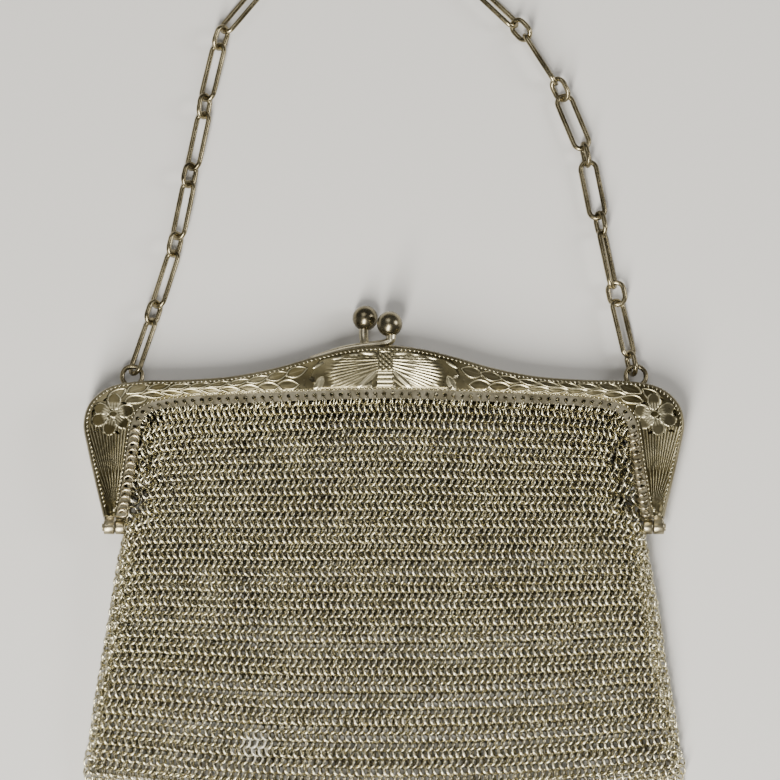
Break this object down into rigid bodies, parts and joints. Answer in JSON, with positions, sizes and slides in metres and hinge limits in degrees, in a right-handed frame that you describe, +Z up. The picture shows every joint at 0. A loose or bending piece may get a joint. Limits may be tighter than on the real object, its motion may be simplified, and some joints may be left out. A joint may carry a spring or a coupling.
{
  "type": "metal mesh purse",
  "caption": "Evening purse of linked metal rings on a pierced, embossed snap frame, lying flat on its back with its link chain handle and ringed fringe points.",
  "frame": {"origin": "middle of the purse's outline with its chain laid out, on the surface it lies on", "axes": "+X across the purse to the right as seen from above, +Y from the fringe to the chain, +Z up out of the ornamented face"},
  "size_m": [0.14, 0.2154, 0.0106],
  "materials": {
    "frame": "worn nickel silver, bright on raised ornament and brown in the hollows",
    "back_frame": "worn nickel silver, smooth and tarnished",
    "pin": "worn nickel silver",
    "ring_mesh": "soldered nickel silver rings, bright on top and dark between",
    "chain": "worn nickel silver wire, dulled with age"
  },
  "bodies": {
    "root": {"front_frame": "frame", "back_frame": "back_frame", "left_hinge_pin": "pin", "right_hinge_pin": "pin", "mesh_bag": "ring_mesh", "ring_fringe": "ring_mesh", "chain_handle": "chain"}
  },
  "joints": []
}
